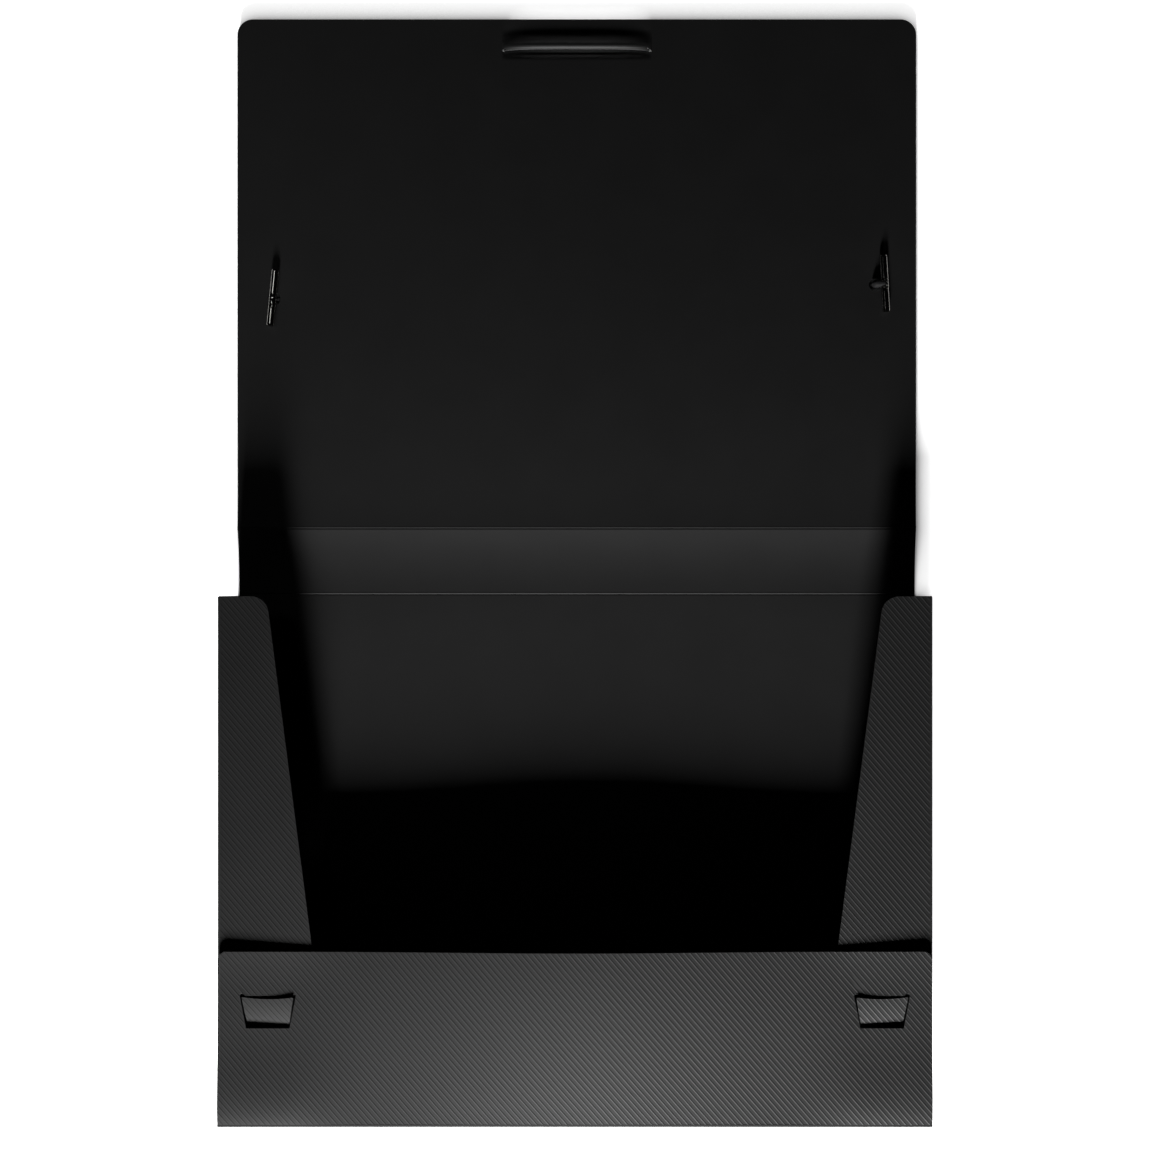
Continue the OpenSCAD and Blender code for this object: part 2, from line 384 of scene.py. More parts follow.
def node_material(name):
    """A new node material, with its shader, a function that adds nodes and one that links them."""
    material = bpy.data.materials.new(name)
    material.use_nodes = True
    tree = material.node_tree
    shader = tree.nodes["Principled BSDF"]

    def add(kind, **inputs):
        node = tree.nodes.new(kind)
        for key, value in inputs.items():
            node.inputs[key.replace("_", " ")].default_value = value
        return node

    return material, shader, add, tree.links.new


def polypropylene(name, grain, dusty):
    """Black satin plastic with a fine grain, slight gloss variation and, on the inside, a little dust."""
    material, shader, add, link = node_material(name)
    where = add("ShaderNodeTexCoord")
    shader.inputs["Specular IOR Level"].default_value = PP_SPECULAR
    shader.inputs["IOR"].default_value = 1.49

    cloud = add("ShaderNodeTexNoise", Scale=38.0, Detail=3.0, Roughness=0.55)
    link(where.outputs["Object"], cloud.inputs["Vector"])
    gloss = add("ShaderNodeMapRange", From_Min=0.3, From_Max=0.7)
    gloss.inputs["To Min"].default_value = PP_ROUGHNESS - GLOSS_VARIATION
    gloss.inputs["To Max"].default_value = PP_ROUGHNESS + GLOSS_VARIATION
    link(cloud.outputs["Fac"], gloss.inputs["Value"])
    link(gloss.outputs["Result"], shader.inputs["Roughness"])

    fine = add("ShaderNodeTexNoise", Scale=5200.0, Detail=2.0, Roughness=0.6)
    link(where.outputs["Object"], fine.inputs["Vector"])
    bump = add("ShaderNodeBump", Strength=grain, Distance=0.00002)
    link(fine.outputs["Fac"], bump.inputs["Height"])
    link(bump.outputs["Normal"], shader.inputs["Normal"])

    colour = add("ShaderNodeMix")
    colour.data_type = "RGBA"
    a, b = [s for s in colour.inputs if s.type == "RGBA"]
    a.default_value = (*PP_COLOUR, 1)
    b.default_value = (*DUST_COLOUR, 1)
    specks = add("ShaderNodeTexVoronoi", Scale=75.0, Randomness=1.0)
    link(where.outputs["Object"], specks.inputs["Vector"])
    near = add("ShaderNodeMapRange", From_Min=0.012, From_Max=0.03, To_Min=1.0, To_Max=0.0)
    link(specks.outputs["Distance"], near.inputs["Value"])
    rare = add("ShaderNodeSeparateColor")
    link(specks.outputs["Color"], rare.inputs["Color"])
    chosen = add("ShaderNodeMath")
    chosen.operation = "GREATER_THAN"
    chosen.inputs[1].default_value = 0.97 if dusty else 0.995
    link(rare.outputs["Red"], chosen.inputs[0])
    both = add("ShaderNodeMath")
    both.operation = "MULTIPLY"
    link(near.outputs["Result"], both.inputs[0])
    link(chosen.outputs["Value"], both.inputs[1])
    link(both.outputs["Value"], colour.inputs["Factor"])
    link([s for s in colour.outputs if s.type == "RGBA"][0], shader.inputs["Base Color"])
    return material


PP_COLOUR = (0.0009, 0.0009, 0.00095)
DUST_COLOUR = (0.012, 0.012, 0.012)
PP_ROUGHNESS = 0.56
GLOSS_VARIATION = 0.012
PP_SPECULAR = 0.33

inner_face = polypropylene("polypropylene_inner", 0.25, True)
outer_face = polypropylene("polypropylene_outer", 0.35, False)
crease_plastic = polypropylene("polypropylene_crease", 0.15, False)


def elastic_material():
    """Braided black elastic yarn."""
    material, shader, add, link = node_material("elastic_braid")
    where = add("ShaderNodeTexCoord")
    shader.inputs["Roughness"].default_value = 0.75
    shader.inputs["Specular IOR Level"].default_value = 0.12
    shader.inputs["Sheen Weight"].default_value = 0.01
    fibre = add("ShaderNodeTexNoise", Scale=2600.0, Detail=3.0)
    link(where.outputs["Object"], fibre.inputs["Vector"])
    ramp = add("ShaderNodeValToRGB")
    ramp.color_ramp.elements[0].color = (0.0006, 0.0006, 0.00065, 1)
    ramp.color_ramp.elements[1].color = (0.004, 0.004, 0.0042, 1)
    link(fibre.outputs["Fac"], ramp.inputs["Fac"])
    link(ramp.outputs["Color"], shader.inputs["Base Color"])
    bump = add("ShaderNodeBump", Strength=0.5, Distance=0.00008)
    link(fibre.outputs["Fac"], bump.inputs["Height"])
    link(bump.outputs["Normal"], shader.inputs["Normal"])
    return material


def nickel_material():
    """Nickel-plated steel strip with fine rolling marks."""
    material, shader, add, link = node_material("nickel_plate")
    where = add("ShaderNodeTexCoord")
    shader.inputs["Metallic"].default_value = 1.0
    shader.inputs["Base Color"].default_value = (0.34, 0.335, 0.32, 1)
    stretch = add("ShaderNodeMapping")
    stretch.inputs["Scale"].default_value = (4000, 120, 4000)
    link(where.outputs["Object"], stretch.inputs["Vector"])
    marks = add("ShaderNodeTexNoise", Scale=1.0, Detail=3.0)
    link(stretch.outputs["Vector"], marks.inputs["Vector"])
    gloss = add("ShaderNodeMapRange", To_Min=0.07, To_Max=0.16)
    link(marks.outputs["Fac"], gloss.inputs["Value"])
    link(gloss.outputs["Result"], shader.inputs["Roughness"])
    bump = add("ShaderNodeBump", Strength=0.15, Distance=0.00001)
    link(marks.outputs["Fac"], bump.inputs["Height"])
    link(bump.outputs["Normal"], shader.inputs["Normal"])
    return material


elastic = elastic_material()
nickel = nickel_material()


# ---------------------------------------------------------------- camera, light and floor

CAMERA_HEIGHT = 0.5652
CAMERA_X = 0.0177
CAMERA_Y = 0.122
CAMERA_LENS = 36.37
CAMERA_SHIFT = (-0.0334, 0.0172)


def camera():
    """Looks straight down at the open box."""
    data = bpy.data.cameras.new("camera")
    data.lens = CAMERA_LENS
    data.sensor_width = 36
    data.shift_x, data.shift_y = CAMERA_SHIFT
    data.clip_start, data.clip_end = 0.01, 20
    eye = bpy.data.objects.new("camera", data)
    eye.location = (CAMERA_X, CAMERA_Y, CAMERA_HEIGHT)
    bpy.context.scene.collection.objects.link(eye)
    bpy.context.scene.camera = eye


LEFT_BAR = (corner("left_t_bar", 0, 0, 0) + corner("left_t_bar", 1, 1, 1)) / 2
RIGHT_BAR = (corner("right_t_bar", 0, 0, 0) + corner("right_t_bar", 1, 1, 1)) / 2
KEY_ELEVATION = math.radians(18.5)
KEY_TURN = math.radians(-4.5)
KEY_DISTANCE = 2.5
KEY_SIZE = (0.35, 0.55)
KEY_POWER = 285.0
CARD_SPREAD = math.radians(20)
CARD_AT = Vector((-0.47, 0.58, 1.2))
CARD_SIZE = (0.12, 0.5)
CARD_POWER = 0.008


def softbox(name, at, size, power, target, spread=math.pi):
    """A rectangular light that faces a point."""
    data = bpy.data.lights.new(name, "AREA")
    data.shape = "RECTANGLE"
    data.size, data.size_y = size
    data.energy = power
    data.spread = spread
    lamp = bpy.data.objects.new(name, data)
    lamp.location = at
    lamp.rotation_mode = "QUATERNION"
    lamp.rotation_quaternion = (at - target).to_track_quat("Z", "Y")
    bpy.context.scene.collection.objects.link(lamp)


def lights():
    """A low softbox in front of the box, and a faint card overhead that the left bar reflects."""
    towards = Vector((
        math.sin(KEY_TURN) * math.cos(KEY_ELEVATION),
        -math.cos(KEY_TURN) * math.cos(KEY_ELEVATION),
        math.sin(KEY_ELEVATION),
    ))
    softbox("key_softbox", towards * KEY_DISTANCE, KEY_SIZE, KEY_POWER, Vector())
    softbox("overhead_card", CARD_AT, CARD_SIZE, CARD_POWER, LEFT_BAR, CARD_SPREAD)


def world():
    """A dark studio with a faint glow round the horizon, behind a pale backdrop."""
    made = bpy.data.worlds.new("studio")
    made.use_nodes = True
    tree = made.node_tree
    link = tree.links.new
    where = tree.nodes.new("ShaderNodeTexCoord")
    split = tree.nodes.new("ShaderNodeSeparateXYZ")
    ramp = tree.nodes.new("ShaderNodeValToRGB")
    ramp.color_ramp.interpolation = "EASE"
    ramp.color_ramp.elements[0].position = 0.0
    ramp.color_ramp.elements[0].color = (0.03, 0.03, 0.03, 1)
    ramp.color_ramp.elements[1].position = 0.3
    ramp.color_ramp.elements[1].color = (0.001, 0.001, 0.001, 1)
    link(where.outputs["Generated"], split.inputs["Vector"])
    link(split.outputs["Z"], ramp.inputs["Fac"])
    rays = tree.nodes.new("ShaderNodeLightPath")
    seen = tree.nodes.new("ShaderNodeMix")
    seen.data_type = "RGBA"
    colours = [i for i in seen.inputs if i.type == "RGBA"]
    link(rays.outputs["Is Camera Ray"], seen.inputs["Factor"])
    link(ramp.outputs["Color"], colours[0])
    colours[1].default_value = (0.86, 0.86, 0.86, 1)
    link([o for o in seen.outputs if o.type == "RGBA"][0], tree.nodes["Background"].inputs["Color"])
    bpy.context.scene.world = made


def floor():
    """A plain white table top. It glows faintly where nothing covers it, so that no hard shadow shows."""
    material, shader, add, link = node_material("table_top")
    shader.inputs["Base Color"].default_value = (0.9, 0.9, 0.9, 1)
    shader.inputs["Roughness"].default_value = 0.9
    shader.inputs["Specular IOR Level"].default_value = 0.1
    shader.inputs["Emission Color"].default_value = (1, 1, 1, 1)
    open_sky = add("ShaderNodeAmbientOcclusion", Distance=0.01)
    open_sky.samples = 16
    steep = add("ShaderNodeMath")
    steep.operation = "POWER"
    steep.inputs[1].default_value = 4.0
    link(open_sky.outputs["AO"], steep.inputs[0])
    strength = add("ShaderNodeMath")
    strength.operation = "MULTIPLY"
    strength.inputs[1].default_value = FLOOR_GLOW
    link(steep.outputs["Value"], strength.inputs[0])
    link(strength.outputs["Value"], shader.inputs["Emission Strength"])
    mesh = bpy.data.meshes.new("table_top")
    half = 4.0
    corners = [(-half, -half, 0), (half, -half, 0), (half, half, 0), (-half, half, 0)]
    mesh.from_pydata(corners, [], [(0, 1, 2, 3)])
    mesh.materials.append(material)
    table = bpy.data.objects.new("table_top", mesh)
    bpy.context.scene.collection.objects.link(table)


FLOOR_GLOW = 0.95
bpy.context.scene.view_settings.view_transform = "Standard"
camera()
lights()
world()
floor()


# ---------------------------------------------------------------- panels of the folded sheet

def keep(piece, slot, body, *nodes):
    """The piece stands for CAD nodes, which it hides, and moves with a body when one is given."""
    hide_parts(*nodes)
    if body:
        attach(piece, body)
    return piece


def back():
    half_x, half_y = SIDE_X - CREASE_REACH, END_Y - CREASE_REACH
    corners = [(-half_x, -half_y), (half_x, -half_y), (half_x, half_y), (-half_x, half_y)]
    rim = outline(corners, [0] * 4, [False] * 4)
    at = plane(Vector((0, 0, BACK_Z)), X, Y)
    piece = sheet_panel("back_sheet", at, rim, ridged=-1, run=(1, RIDGE_SLOPE))
    keep(piece, "sheet", "tray", "back_panel")


SPINE_SAG = 0.00077


def spine():
    low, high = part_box("spine_panel")
    along = LID_FOLD - SPINE_FOLD
    length = along.length
    rim = outline(
        [
            (low.x, CREASE_REACH), (high.x, CREASE_REACH),
            (high.x, length - CREASE_REACH), (low.x, length - CREASE_REACH),
        ],
        [0] * 4, [False, True, False, True],
    )

    def sag(u, v):
        return -SPINE_SAG * 4 * (v / length) * (1 - v / length)

    at = plane(SPINE_FOLD, X, along)
    loose = grid((low.x, 0), (high.x, length), 0.004)
    piece = sheet_panel(
        "spine_sheet", at, rim,
        ridged=-1, run=(1, RIDGE_SLOPE), height=sag, step=lambda u, v: 0.003, loose=loose,
    )
    keep(piece, "sheet", "spine", "spine_panel")


LID_CORNER_R = 0.0075
SLIT_W = 0.0725
SLIT_GAP = 0.0006
SLIT_EDGE = 0.0152
LIP_RISE = 0.0026
LIP_EDGE = 0.0012
LIP_EDGE_DROP = 0.0009
LIP_CREST = 0.0026
LIP_REACH = 0.0098
LIP_VALLEY = 0.0003
LOWER_LIP_DROP = 0.0013
LOWER_LIP_FLAT = 0.0012
LOWER_LIP_REACH = 0.0042
BAR_DENT = 0.0005
BAR_DENT_R = 0.0065
HOLE_D = 0.006


def lid():
    low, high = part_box("lid_panel")
    length = high.y - LID_FOLD.y
    slit_v = length - SLIT_EDGE
    rim = outline(
        [(low.x, CREASE_REACH), (high.x, CREASE_REACH), (high.x, length), (low.x, length)],
        [0, 0, LID_CORNER_R, LID_CORNER_R], [False, True, True, True],
    )

    def bow(u, v):
        start = v / 0.018
        dip = -0.00035 * start * np.exp(1 - start)
        envelope = np.clip(1 - (u / (SLIT_W / 2)) ** 4, 0, 1) ** 0.5
        above = np.clip((v - slit_v - LIP_CREST) / (LIP_REACH - LIP_CREST), 0, 1)
        below = np.clip((slit_v - v - LOWER_LIP_FLAT) / (LOWER_LIP_REACH - LOWER_LIP_FLAT), 0, 1)
        edge = LIP_EDGE_DROP * np.clip(1 - (v - slit_v) / LIP_EDGE, 0, 1)
        rise = envelope * (LIP_RISE * (1 - above) ** 1.5 - edge) * (v > slit_v)
        drop = LOWER_LIP_DROP * envelope * (1 - below) ** 1.3 * (v <= slit_v)
        valley = LIP_VALLEY * envelope * np.exp(-(((v - slit_v - 0.0095) / 0.003) ** 2))
        dents = 0
        for bar in (LEFT_BAR, RIGHT_BAR):
            away = (u - bar.x) ** 2 + (0.6 * (v - bar.y + LID_FOLD.y)) ** 2
            dents = dents + BAR_DENT * np.exp(-away / (2 * BAR_DENT_R ** 2))
        return dip + rise - drop - valley - dents

    slit = []
    steps = 30
    for side in (-1, 1):
        for i in range(steps):
            a = side * (-1 + 2 * i / steps)
            half_gap = SLIT_GAP / 2 * max(0.0, 1 - a * a) ** 0.5
            slit.append(Vector((a * SLIT_W / 2, slit_v + side * half_gap)))
    slit.reverse()
    holes = [slit] + [punched(hole, LID_FOLD) for hole in (LEFT_HOLE, RIGHT_HOLE)]

    def step(u, v):
        near = abs(v - slit_v) < 0.014 and abs(u) < 0.045
        return 0.0012 if near else 0.01

    loose = grid((low.x, 0), (high.x, length), 0.008)
    loose = [p for p in loose if not (abs(p.x) < 0.042 and abs(p.y - slit_v) < 0.014)]
    loose += grid((-0.042, slit_v - 0.012), (0.042, slit_v + 0.0145), 0.0006)
    at = plane(LID_FOLD, X, Y)
    piece = sheet_panel(
        "lid_sheet", at, rim, holes,
        ridged=-1, run=(1, RIDGE_SLOPE), height=bow, step=step, loose=loose,
    )
    keep(piece, "sheet", "lid", "lid_panel")


def circle(centre, radius, steps=40):
    """A clockwise circle, for a hole."""
    middle = Vector(centre)
    angles = [-2 * math.pi * i / steps for i in range(steps)]
    return [middle + radius * Vector((math.cos(a), math.sin(a))) for a in angles]


def punched(hole, fold_at):
    """The outline of a punched hole in the lid's own plane."""
    return circle((hole.x - fold_at.x, hole.y - fold_at.y), HOLE_D / 2)


CORD_D = 0.003
RIGHT_BAR_OFFSET = 0.0042
LEFT_HOLE = Vector((LEFT_BAR.x, LEFT_BAR.y, CORD_D / 2))
RIGHT_HOLE = Vector((RIGHT_BAR.x - RIGHT_BAR_OFFSET, RIGHT_BAR.y, CORD_D / 2))


def bottom():
    low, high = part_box("front_flap")
    height = FRONT_FOLD.z - BOTTOM_FOLD.z
    rim = outline(
        [
            (low.x, CREASE_REACH), (high.x, CREASE_REACH),
            (high.x, height - CREASE_REACH), (low.x, height - CREASE_REACH),
        ],
        [0] * 4, [False, True, False, True],
    )
    piece = sheet_panel("bottom_sheet", plane(BOTTOM_FOLD, X, Z), rim, run=(1, -RIDGE_SLOPE))
    keep(piece, "sheet", "bottom", "bottom_wall")


FRONT_CORNER_R = 0.0043
CROWN = 0.00258
CROWN_REACH = 0.122
LOCK_Y = 0.045
LOCK_X = LOCK_FOLDS["right"].x
WINDOW_NARROW_W = 0.0199
WINDOW_WIDE_W = 0.0252
WINDOW_H = 0.015


EAR_R = 0.0011


def window(x):
    """The clockwise outline of a window in the front flap, with a small round ear at each wide corner."""
    half_low, half_high = WINDOW_NARROW_W / 2, WINDOW_WIDE_W / 2
    points = [Vector((x - half_low, LOCK_Y))]
    for side in (-1, 1):
        centre = Vector((x + side * (half_high - 0.8 * EAR_R), LOCK_Y + WINDOW_H - 0.1 * EAR_R))
        arc = []
        for i in range(CORNER_STEPS + 1):
            a = math.radians(185 - 190 * i / CORNER_STEPS)
            arc.append(centre + EAR_R * Vector((-side * math.cos(a), math.sin(a))))
        points += arc if side < 0 else arc[::-1]
    return points + [Vector((x + half_low, LOCK_Y))]


def front_bow(u, v, length):
    """How the front flap bows: up in its middle, and over each lock up near the fold and then down."""
    middle = np.where(np.abs(u) < CROWN_REACH, np.cos(np.pi / 2 * u / CROWN_REACH) ** 2, 0)
    crown = CROWN * middle * np.sin(np.pi / 2 * np.clip(v / length, 0, 1))
    start = v / 0.013
    hump = 0.0006 * start * np.exp(1 - start)
    sink = -0.0007 * (0.5 - 0.5 * np.cos(np.pi * np.clip(v / 0.045, 0, 1)))
    lift = 0.0006 * np.clip((v - 0.06) / (length - 0.06), 0, 1) ** 2
    return crown + np.clip((np.abs(u) - 0.09) / 0.04, 0, 1) ** 2 * (hump + sink + lift)


def front():
    low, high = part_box("front_flap")
    length = high.y - FRONT_FOLD.y
    rim = outline(
        [(low.x, CREASE_REACH), (high.x, CREASE_REACH), (high.x, length), (low.x, length)],
        [0, 0, FRONT_CORNER_R, FRONT_CORNER_R], [False, True, True, True],
    )

    at = plane(FRONT_FOLD, X, Y)
    loose = grid((low.x, 0), (high.x, length), 0.004)
    piece = sheet_panel(
        "front_sheet", at, rim, [window(-LOCK_X), window(LOCK_X)], run=(1, -RIDGE_SLOPE),
        height=lambda u, v: front_bow(u, v, length), step=lambda u, v: 0.004, loose=loose,
    )
    keep(piece, "sheet", "front", "front_flap")


def side_wall(name, sign):
    """A side wall, its outer face outwards."""
    height = SIDE_Z - BACK_Z
    half = END_Y - CREASE_REACH
    rim = outline(
        [
            (-half, CREASE_REACH), (half, CREASE_REACH),
            (half, height - CREASE_REACH), (-half, height - CREASE_REACH),
        ],
        [0] * 4, [False, True, False, True],
    )
    at = plane(Vector((sign * SIDE_X, 0, BACK_Z)), Y * sign, Z)
    piece = sheet_panel(f"{name}_wall_sheet", at, rim, run=(RIDGE_SLOPE, 1))
    keep(piece, "sheet", "tray", f"{name}_wall")


FLAP_TOP_W = 0.0224
FLAP_BOTTOM_W = 0.0542
FLAP_CORNER_R = 0.008
FLAP_END_Y = END_Y - 0.00105
FLAP_TILT = math.radians(1.7)
PANEL_GAP = 0.00035
TONGUE_L = 0.0137
TONGUE_TILT = math.radians(7.5)
TONGUE_HORN = 0.0009
TONGUE_LIFT = 0.06
TONGUE_CURL = 0.12
TONGUE_STEP = 0.0012
TONGUE_CORNER_R = 0.0005


def flap_plane(sign):
    """The plane of a side flap, with X to the right whichever side it is on."""
    return plane(
        Vector((sign * SIDE_X, 0, SIDE_Z)),
        Vector((math.cos(FLAP_TILT), 0, -sign * math.sin(FLAP_TILT))),
        Y,
    )


def side_flap(name, sign):
    """A side flap with the window that its tongue is cut from."""
    corners = [
        (-sign * CREASE_REACH, -FLAP_END_Y), (-sign * FLAP_BOTTOM_W, -FLAP_END_Y),
        (-sign * FLAP_TOP_W, FLAP_END_Y), (-sign * CREASE_REACH, FLAP_END_Y),
    ]
    radii, free = [0, FLAP_CORNER_R, FLAP_CORNER_R, 0], [True, True, True, False]
    if sign > 0:
        corners, radii, free = corners[::-1], radii[::-1], [free[2], free[1], free[0], free[3]]
    rim = outline(corners, radii, free)
    lock_u = sign * (LOCK_X - SIDE_X)
    low_v = -END_Y + LOCK_Y
    hole = [
        Vector((lock_u - WINDOW_NARROW_W / 2, low_v - CREASE_REACH)),
        Vector((lock_u - WINDOW_WIDE_W / 2 - PANEL_GAP / 2, low_v + TONGUE_L + TONGUE_HORN + PANEL_GAP)),
        Vector((lock_u + WINDOW_WIDE_W / 2 + PANEL_GAP / 2, low_v + TONGUE_L + TONGUE_HORN + PANEL_GAP)),
        Vector((lock_u + WINDOW_NARROW_W / 2, low_v - CREASE_REACH)),
    ]
    piece = sheet_panel(f"{name}_flap_sheet", flap_plane(sign), rim, [hole], run=(1, -RIDGE_SLOPE))
    keep(piece, "sheet", "tray", f"{name}_flap")


def tongue(name, sign):
    """The tongue that is pushed up through the front flap's window."""
    base = flap_plane(sign)
    across = base.to_3x3() @ X
    along = Y * math.cos(TONGUE_TILT) + (base.to_3x3() @ Z) * math.sin(TONGUE_TILT)
    at = plane(LOCK_FOLDS[name], across, along)
    low = CREASE_T / 2 + 0.0003
    half_low = WINDOW_NARROW_W / 2 - PANEL_GAP
    half_high = WINDOW_WIDE_W / 2 - 1.5 * PANEL_GAP
    end = [
        (half_high - 2 * half_high * i / 16, TONGUE_L + TONGUE_HORN * (1 - i / 8) ** 2)
        for i in range(17)
    ]
    corners = [(-half_low, low), (half_low, low)] + end
    radii = [0, 0, TONGUE_CORNER_R] + [0] * 15 + [TONGUE_CORNER_R]
    rim = outline(corners, radii, [False] + [True] * 18)

    def curl(u, v):
        t = np.clip((v - low) / (TONGUE_L - low), 0, 1.1)
        return (TONGUE_L - low) * (TONGUE_LIFT * t - TONGUE_CURL * t * t / 2)

    loose = grid((-half_high, low), (half_high, TONGUE_L), TONGUE_STEP)
    piece = sheet_panel(
        f"{name}_tongue_sheet", at, rim,
        run=(1, -RIDGE_SLOPE), height=curl, step=lambda u, v: TONGUE_STEP, loose=loose,
    )
    keep(piece, "sheet", f"{name}_lock", f"{name}_tongue")


# ---------------------------------------------------------------- creases

def crease_side(one, two, reaches, offset, radius, groove):
    """One face of a crease from panel one to panel two, each (direction from the fold, outward normal)."""
    (d1, n1), (d2, n2) = one, two
    knee = (n1 + n2) * offset / (1 + n1.dot(n2))
    ends = reaches[0] - knee.dot(d1), reaches[1] - knee.dot(d2)
    path = []
    steps = 9
    for i in range(-steps, steps + 1):
        s = math.copysign(abs(i / steps) ** 1.4, i) * (ends[0] if i < 0 else ends[1])
        t = max(0.0, min(1.0, (s / radius + 1) / 2))
        if abs(s) >= radius:
            point = knee + (d1 if s < 0 else d2) * abs(s)
        else:
            point = knee + (d1 * (1 - t) ** 2 + d2 * t ** 2) * radius
        normal = (n1 * (1 - t) + n2 * t).normalized() * math.copysign(1, offset)
        path.append(point - normal * groove * math.exp(-(s / GROOVE_W) ** 2))
    return path


GROOVE_W = 0.0003


def crease(name, at, axis, low, high, one, two, grooves, reaches=(CREASE_REACH, CREASE_REACH)):
    """A closed strip that joins two panels along a fold, grooved on its outer and inner faces."""
    outer = crease_side(one, two, reaches, SHEET_T / 2, 0.0005, grooves[0])
    inner = crease_side(one, two, reaches, -INNER, 0.00015, grooves[1])
    count = len(outer)
    stations = [low + (high - low) * i / 12 for i in range(13)]
    verts = [at + p + axis * x for x in stations for p in outer + inner]
    faces = []
    for k in range(len(stations) - 1):
        for side, flip in ((0, False), (count, True)):
            for i in range(count - 1):
                a = k * 2 * count + side + i
                quad = (a, a + 1, a + 2 * count + 1, a + 2 * count)
                faces.append(quad[::-1] if flip else quad)
        for i, flip in ((0, True), (count - 1, False)):
            a = k * 2 * count + i
            quad = (a, a + count, a + 3 * count, a + 2 * count)
            faces.append(quad[::-1] if flip else quad)
    for k, flip in ((0, True), (len(stations) - 1, False)):
        for i in range(count - 1):
            a = k * 2 * count + i
            quad = (a, a + 1, a + count + 1, a + count)
            faces.append(quad[::-1] if flip else quad)
    piece = finish_mesh(name, verts, faces, [crease_plastic], crease_angle=40)
    fix_normals(piece)
    return piece


def fix_normals(piece):
    """Turns every face of a closed piece outwards."""
    made = bmesh.new()
    made.from_mesh(piece.data)
    bmesh.ops.recalc_face_normals(made, faces=made.faces)
    made.to_mesh(piece.data)
    made.free()


def bend_crease(piece):
    """Bakes a crease's placement into its mesh."""
    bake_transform(piece)


def creases():
    """Every fold of the sheet. The side folds move with the tray, and the others are baked in place and
    belong to no body.
    """
    spine_run = (LID_FOLD - SPINE_FOLD).normalized()
    spine_out = spine_run.cross(X)
    lid_half = corner("lid_panel", 1, 0, 0).x
    front_half = corner("front_flap", 1, 0, 0).x
    flat, folded = (0.0003, 0.0001), (0.0, 0.0002)
    moving = [
        (
            "back_spine_fold", SPINE_FOLD, lid_half, (-Y, -Z), (spine_run, spine_out),
            flat, ("tray", "spine"), "back_spine_crease",
        ),
        (
            "spine_lid_fold", LID_FOLD, lid_half, (-spine_run, spine_out), (Y, -Z),
            flat, ("spine", "lid"), "spine_lid_crease",
        ),
        (
            "back_bottom_fold", BOTTOM_FOLD, front_half, (Y, -Z), (Z, -Y),
            folded, ("tray", "bottom"), "back_bottom_crease",
        ),
        (
            "bottom_front_fold", FRONT_FOLD, front_half, (-Z, -Y), (Y, Z),
            folded, ("bottom", "front"), "bottom_front_crease",
        ),
    ]
    for name, at, half, one, two, grooves, bodies, node in moving:
        piece = crease(name, at, X, -half, half, one, two, grooves)
        keep(piece, "crease", None, node)
        bend_crease(piece)
    for name, sign in (("left", -1), ("right", 1)):
        inwards, outwards = X * -sign, X * sign
        base = flap_plane(sign).to_3x3()
        flap_in, flap_up = (base @ X) * -sign, base @ Z
        wall_half = END_Y - CREASE_REACH
        low_at, high_at = Vector((sign * SIDE_X, 0, BACK_Z)), Vector((sign * SIDE_X, 0, SIDE_Z))
        piece = crease(
            f"back_{name}_fold", low_at, Y, -wall_half, wall_half, (inwards, -Z), (Z, outwards), folded,
        )
        keep(piece, "crease", "tray", f"back_{name}_crease")
        piece = crease(
            f"{name}_flap_fold", high_at, Y, -FLAP_END_Y, FLAP_END_Y,
            (-Z, outwards), (flap_in, flap_up), folded,
        )
        keep(piece, "crease", "tray", f"{name}_flap_crease")
        tongue_run = Y * math.cos(TONGUE_TILT) + flap_up * math.sin(TONGUE_TILT)
        tongue_up = (base @ X).cross(tongue_run)
        one, two = (-Y, flap_up), (tongue_run, tongue_up)
        half = WINDOW_NARROW_W / 2 - PANEL_GAP
        piece = crease(
            f"{name}_tongue_fold", LOCK_FOLDS[name], base @ X, -half, half, one, two, (0.0001, 0.0003),
            (CREASE_REACH, CREASE_T / 2 + 0.0003),
        )
        keep(piece, "crease", None, f"{name}_tongue_crease")
        bend_crease(piece)


# ---------------------------------------------------------------- elastic cord and metal bars

BRAID_PITCH = 0.0024
BRAID_DEPTH = 0.00006
CORD_SIDES = 24
CORD_STEP = 0.0004


def bezier(a, b, c, d, steps):
    """Points on a cubic curve, its first point left out."""
    points = []
    for i in range(1, steps + 1):
        t = i / steps
        points.append(a * (1 - t) ** 3 + b * 3 * t * (1 - t) ** 2 + c * 3 * t * t * (1 - t) + d * t ** 3)
    return points


def cord_route():
    """The cord's middle line, from the left bar, under the lid, up through the right hole to its bar."""
    bar_z = LEFT_BAR.z
    bend = 0.0016
    run = (RIGHT_HOLE - LEFT_HOLE).normalized()
    left_top = Vector((LEFT_HOLE.x, LEFT_HOLE.y, bar_z))
    start, end = LEFT_HOLE + Z * bend, LEFT_HOLE + run * bend
    points = [left_top, start] + bezier(start, start - Z * bend * 0.55, end - run * bend * 0.55, end, 8)
    start, end = RIGHT_HOLE - run * bend, RIGHT_HOLE + Z * bend
    steps = int((start - points[-1]).length / CORD_STEP)
    points += [points[-1].lerp(start, (i + 1) / steps) for i in range(steps)]
    points += bezier(start, start + run * bend * 0.55, end - Z * bend * 0.55, end, 8)
    top = Vector((RIGHT_HOLE.x, RIGHT_HOLE.y, bar_z))
    start, end = top - Z * bend, top + X * bend
    points += bezier(start, start + Z * bend * 0.55, end - X * bend * 0.55, end, 8)
    return points + [Vector((RIGHT_BAR.x, RIGHT_BAR.y, bar_z))]


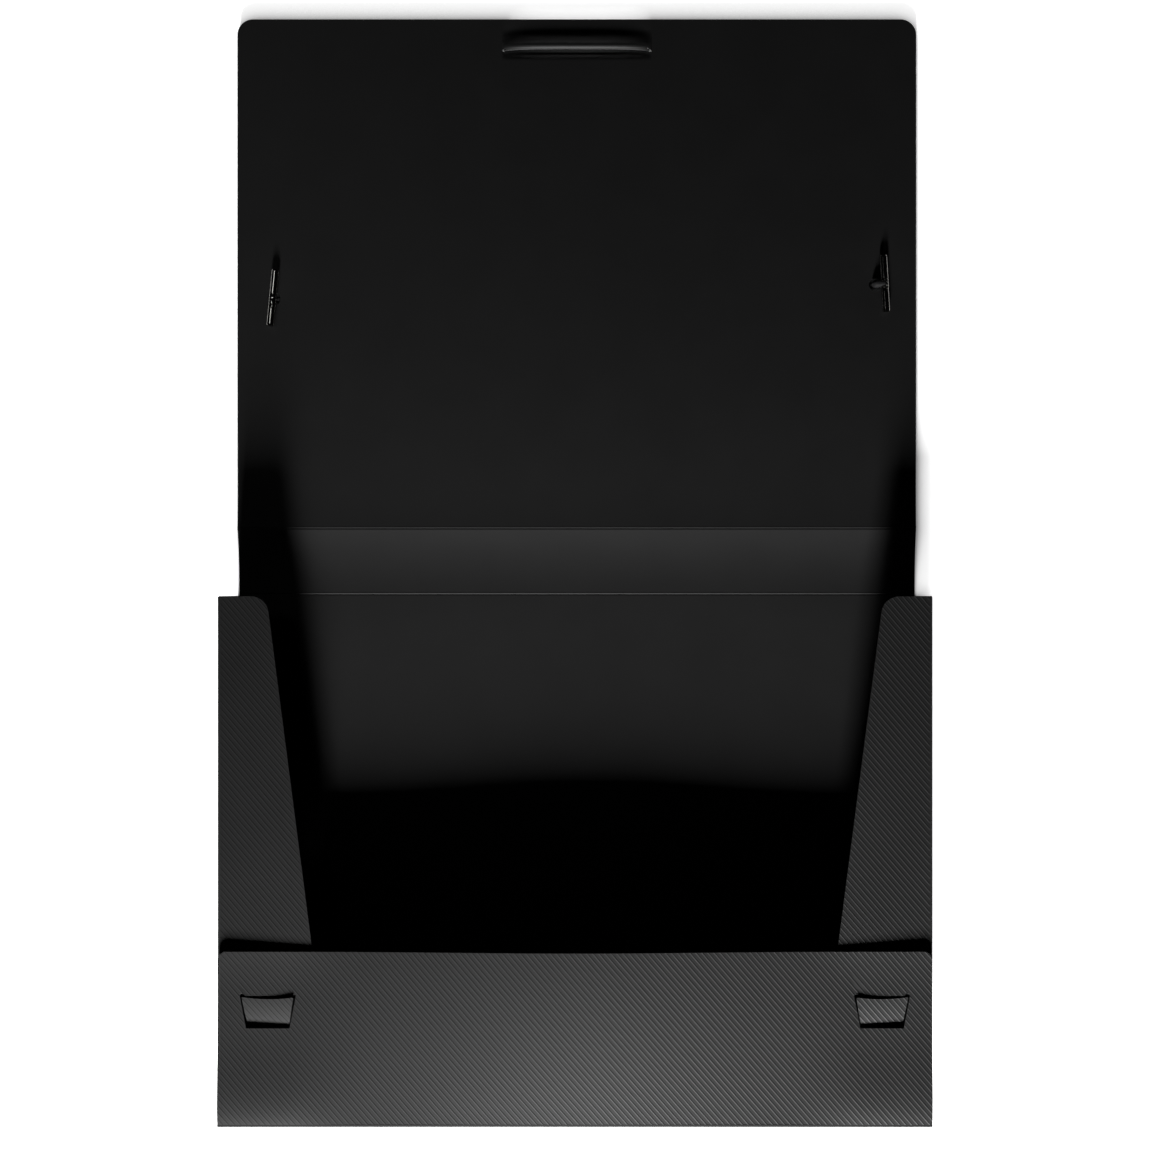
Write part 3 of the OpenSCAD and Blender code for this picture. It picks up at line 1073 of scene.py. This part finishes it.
def cord():
    """A round braided cord whose strands stand proud of its surface."""
    path = cord_route()
    verts, faces = [], []
    side = Y
    along = 0.0
    for i, p in enumerate(path):
        run = (path[min(i + 1, len(path) - 1)] - path[max(i - 1, 0)]).normalized()
        side = (side - run * side.dot(run)).normalized()
        up = run.cross(side)
        if i:
            along += (p - path[i - 1]).length
        for k in range(CORD_SIDES):
            a = 2 * math.pi * k / CORD_SIDES
            left = math.cos(6 * a + 2 * math.pi * along / BRAID_PITCH)
            right = math.cos(6 * a - 2 * math.pi * along / BRAID_PITCH)
            from_bend = (p - RIGHT_HOLE - Z * (LEFT_BAR.z - CORD_D / 2)).length
            bulge = 1 + 0.4 * math.exp(-(from_bend / 0.0016) ** 2)
            radius = (CORD_D / 2 - BRAID_DEPTH * (1 - max(left, right))) * bulge
            verts.append(p + (side * math.cos(a) + up * math.sin(a)) * radius)
    n = CORD_SIDES
    for i in range(len(path) - 1):
        for k in range(n):
            faces.append((i * n + k, i * n + (k + 1) % n, (i + 1) * n + (k + 1) % n, (i + 1) * n + k))
    faces.append(tuple(range(n))[::-1])
    faces.append(tuple((len(path) - 1) * n + k for k in range(n)))
    piece = finish_mesh("braided_elastic", verts, faces, [elastic], crease_angle=60)
    fix_normals(piece)
    keep(piece, "elastic", "lid", "elastic_cord")


BAR_L = 0.027
BAR_W = 0.0038
BAR_H = 0.003
BAR_WALL = 0.00045


def rolled_bar(name, centre, turn, seam, gap, dents):
    """A bar rolled from metal strip, its seam facing up (1) or down (-1), crimped by dents."""
    rings, arc = 90, 28
    verts, faces = [], []
    for i in range(rings + 1):
        s = (i / rings - 0.5) * BAR_L
        from_end = min(i, rings - i)
        round_end = (0.00018, 0.00006, 0.0)[min(from_end, 2)]
        section = []
        for wall, reverse in ((0.0, False), (BAR_WALL, True)):
            ring = []
            for k in range(arc + 1):
                a = gap + (2 * math.pi - 2 * gap) * k / arc
                dent = 0
                for place, angle, depth, width in dents:
                    along = math.exp(-((s - place) / width) ** 2)
                    around = math.exp(-(math.sin((a - angle) / 2) / 0.3) ** 2)
                    dent += depth * along * around
                squeeze = wall + dent + (round_end if not reverse else 0)
                across, up = BAR_W / 2 - squeeze, BAR_H / 2 - squeeze
                ring.append((math.sin(a) * across, seam * math.cos(a) * up))
            section += ring[::-1] if reverse else ring
        verts += [(x, s, z) for x, z in section]
    n = 2 * (arc + 1)
    for i in range(rings):
        for k in range(n):
            faces.append((i * n + k, i * n + (k + 1) % n, (i + 1) * n + (k + 1) % n, (i + 1) * n + k))
    for first in (0, rings * n):
        for k in range(arc):
            faces.append((first + k, first + k + 1, first + n - 2 - k, first + n - 1 - k))
    at = Matrix.Translation(centre) @ Matrix.Rotation(turn, 4, "Z")
    piece = finish_mesh(name, [at @ Vector(v) for v in verts], faces, [nickel], crease_angle=35)
    fix_normals(piece)
    return piece


def bars():
    left = rolled_bar(
        "left_rolled_bar", LEFT_BAR, math.radians(-5.5), -1, 0.1,
        [(-0.0002, math.pi, 0.00022, 0.0012), (-0.0042, math.pi + 0.4, 0.00015, 0.0008)],
    )
    keep(left, "metal", "lid", "left_t_bar")
    places = (-0.0024, -0.0008, 0.0008, 0.0024)
    teeth = [(place, angle, 0.0005, 0.0005) for place in places for angle in (0.5, -0.5)]
    right = rolled_bar("right_rolled_bar", RIGHT_BAR, math.radians(3), 1, 0.12, teeth)
    keep(right, "metal", "lid", "right_t_bar")


back()
spine()
lid()
bottom()
front()
for side_name, side_sign in (("left", -1), ("right", 1)):
    side_wall(side_name, side_sign)
    side_flap(side_name, side_sign)
    tongue(side_name, side_sign)
creases()
cord()
bars()
